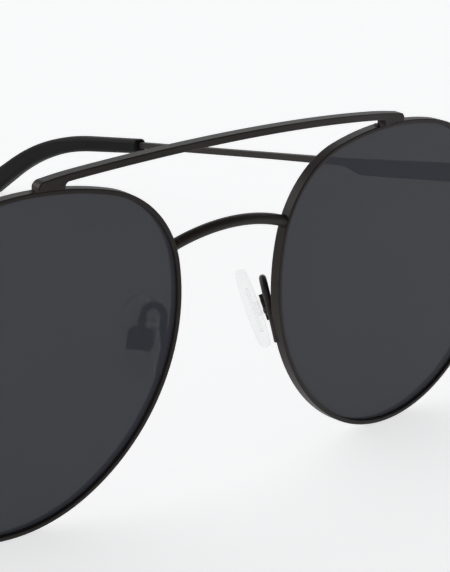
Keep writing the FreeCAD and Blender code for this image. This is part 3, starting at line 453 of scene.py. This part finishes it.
def bridge_solder(side):
    """The collar of solder that flares from the bridge wire onto the side of the rim."""
    sign = 1 if side == "left" else -1
    lean = Matrix.Rotation(BRIDGE_LEAN, 3, "X")
    centre = BRIDGE_CROWN - lean @ Vector((0, 0, ARC_RADIUS))
    across_arc = lean @ Vector((0, 1, 0))
    rings = []
    for step in range(COLLAR_STEPS + 1):
        share = step / COLLAR_STEPS
        angle = COLLAR_START + (COLLAR_END - COLLAR_START) * share
        from_centre = lean @ Vector((sign * math.sin(angle), 0, math.cos(angle)))
        flare = COLLAR_SNUG + COLLAR_FLARE * share**3
        ring = []
        for turn in range(ROUND_STEPS):
            around = 2 * math.pi * turn / ROUND_STEPS
            outward = from_centre * math.cos(around) + across_arc * math.sin(around)
            point = centre + from_centre * ARC_RADIUS + outward * WIRE_RADIUS * flare
            ring.append(FRONT @ point)
        rings.append(ring)
    mesh = bmesh.new()
    skin_rings(mesh, rings)
    link_metal(side + "_bridge_solder", mesh)


# A fillet's hidden corner is sunk into the two metal faces by these shares of the fillet's reach.
SUNK_ALONG, SUNK_DOWN = 0.15, 0.35
COVE_STEPS = 8


def cove(name, corner, along, upward, reach, front_y, back_y):
    """A concave fillet of solder in the corner between two metal faces, swept front to back."""
    middle = corner + along * reach + upward * reach
    profile = [corner - along * SUNK_ALONG * reach - upward * SUNK_DOWN * reach]
    for step in range(COVE_STEPS + 1):
        angle = math.radians(90) * step / COVE_STEPS
        profile.append(middle - along * reach * math.sin(angle) - upward * reach * math.cos(angle))
    rings = []
    for y in (front_y, back_y):
        rings.append([FRONT @ Vector((point.x, y, point.y)) for point in profile])
    mesh = bmesh.new()
    skin_rings(mesh, rings)
    link_metal(name, mesh)


# Each foot of the brow bar stands on a rim between FOOT_IN and FOOT_OUT in X. The rim's top there,
# and the fillets' front and back in Y, are in the front's frame.
FOOT_IN, FOOT_OUT = 30.9 * MM, 35.3 * MM
RIM_TOP_AT_FOOT_IN, RIM_TOP_AT_FOOT_OUT = 21.86 * MM, 21.96 * MM
FOOT_FRONT, FOOT_BACK = 0.40 * MM, 1.45 * MM
FILLET_IN, FILLET_OUT = 0.42 * MM, 0.36 * MM


def bar_solder(side):
    """Solder in the two corners between the brow bar's foot and the rim."""
    sign = 1 if side == "left" else -1
    inward, outward, up = Vector((-sign, 0)), Vector((sign, 0)), Vector((0, 1))
    cove(side + "_bar_solder_in", Vector((sign * FOOT_IN, RIM_TOP_AT_FOOT_IN)), inward, up,
         FILLET_IN, FOOT_FRONT, FOOT_BACK)
    cove(side + "_bar_solder_out", Vector((sign * FOOT_OUT, RIM_TOP_AT_FOOT_OUT)), outward, up,
         FILLET_OUT, FOOT_FRONT, FOOT_BACK)


for wearer_side in SIDES:
    bridge_solder(wearer_side)
    bar_solder(wearer_side)


# ---------------------------------------------------------------- floor, light and camera

FLOOR_HALF = 3.0

# The room's strength by height, as (sine of the height angle, strength). It stays as it is at the
# first below that one, and as it is at the last above that.
ROOM_HEIGHTS = [(0.0, 0.20), (0.10, 0.28), (0.19, 0.45), (0.34, 0.85), (0.48, 1.0), (0.60, 0.20)]
# It is multiplied by the first of these in front of the glasses and by the second behind them. The
# change runs between two values of the direction's part along Y.
ROOM_FRONT, ROOM_BACK = 0.25, 1.6
ROOM_CHANGE_START, ROOM_CHANGE_END = -0.45, 0.20

WINDOW_PLACE, WINDOW_TARGET = (-0.74, 1.04, 0.79), (0, 0, 0.03)
WINDOW_SIZE, WINDOW_WATTS = 0.8, 7.0

# The camera in the front's own frame: degrees round from straight ahead, up, and rolled.
CAMERA_AZIMUTH, CAMERA_ELEVATION, CAMERA_ROLL = -43.0, 18.88, 2.89
CAMERA_DISTANCE = 0.3280
CAMERA_TARGET = Vector((-0.01, 0.0, 2.26)) * MM
SENSOR_WIDTH, FOCAL_LENGTH, CLIP_START = 36.0, 140.8, 0.01


def floor_material():
    """Pale studio table lit partly from below, so that shadows on it stay soft and light."""
    material, tree, shader = new_material("floor_paper")
    cloud = noise(tree, 3.0, 3.0, 0.5)
    body = shades(tree, cloud, (0.665, 0.665, 0.668), (0.675, 0.675, 0.678))
    tree.links.new(body, shader.inputs["Base Color"])
    shader.inputs["Roughness"].default_value = 0.7
    shader.inputs["Specular IOR Level"].default_value = 0.1
    shader.inputs["Emission Color"].default_value = (0.99, 0.995, 1.0, 1)
    shader.inputs["Emission Strength"].default_value = 0.685
    return material


def add_floor():
    """A flat square floor at Z = 0."""
    mesh = bpy.data.meshes.new("floor")
    half = FLOOR_HALF
    corners = [(-half, -half, 0), (half, -half, 0), (half, half, 0), (-half, half, 0)]
    mesh.from_pydata(corners, [], [(0, 1, 2, 3)])
    floor = bpy.data.objects.new("floor", mesh)
    bpy.context.collection.objects.link(floor)
    mesh.materials.append(floor_material())


def add_world():
    """The room: a bright band low behind the glasses, dim overhead and in front."""
    world = bpy.data.worlds.new("studio")
    bpy.context.scene.world = world
    world.use_nodes = True
    tree = world.node_tree
    background = tree.nodes["Background"]
    background.inputs["Color"].default_value = (0.985, 0.99, 1.0, 1)
    sky = tree.nodes.new("ShaderNodeTexCoord")
    apart = tree.nodes.new("ShaderNodeSeparateXYZ")
    tree.links.new(sky.outputs["Generated"], apart.inputs["Vector"])
    greys = [(upward, (strength, strength, strength)) for upward, strength in ROOM_HEIGHTS]
    band = ramp(tree, apart.outputs["Z"], greys)
    depth = spread(tree, apart.outputs["Y"], ROOM_FRONT, ROOM_BACK, ROOM_CHANGE_START,
                   ROOM_CHANGE_END)
    product = tree.nodes.new("ShaderNodeMath")
    product.operation = "MULTIPLY"
    tree.links.new(depth, product.inputs[0])
    tree.links.new(band, product.inputs[1])
    tree.links.new(product.outputs["Value"], background.inputs["Strength"])


def add_window():
    """A square window behind the glasses to the wearer's right, which only gloss picks up."""
    light = bpy.data.lights.new("window", "AREA")
    light.shape = "RECTANGLE"
    light.size = WINDOW_SIZE
    light.size_y = WINDOW_SIZE
    light.energy = WINDOW_WATTS
    window = bpy.data.objects.new("window", light)
    window.location = WINDOW_PLACE
    window.rotation_mode = "QUATERNION"
    aim = Vector(WINDOW_TARGET) - Vector(WINDOW_PLACE)
    window.rotation_quaternion = aim.to_track_quat("-Z", "Y")
    window.visible_diffuse = False
    bpy.context.collection.objects.link(window)


def add_camera():
    """A long lens in front of the glasses, to the wearer's right and a little above."""
    azimuth = math.radians(CAMERA_AZIMUTH)
    elevation = math.radians(CAMERA_ELEVATION)
    roll = math.radians(CAMERA_ROLL)
    view = Vector((-math.sin(azimuth) * math.cos(elevation),
                   math.cos(azimuth) * math.cos(elevation), -math.sin(elevation)))
    level = Vector((math.cos(azimuth), math.sin(azimuth), 0))
    upward = level.cross(view)
    right = level * math.cos(roll) + upward * math.sin(roll)
    top = upward * math.cos(roll) - level * math.sin(roll)
    place = Matrix((right, top, -view)).transposed().to_4x4()
    place.translation = CAMERA_TARGET - view * CAMERA_DISTANCE
    data = bpy.data.cameras.new("camera")
    data.sensor_width = SENSOR_WIDTH
    data.lens = FOCAL_LENGTH
    data.clip_start = CLIP_START
    camera = bpy.data.objects.new("camera", data)
    camera.matrix_world = FRONT @ place
    bpy.context.collection.objects.link(camera)
    bpy.context.scene.camera = camera


add_floor()
add_world()
add_window()
add_camera()
bpy.context.scene.view_settings.view_transform = "Standard"
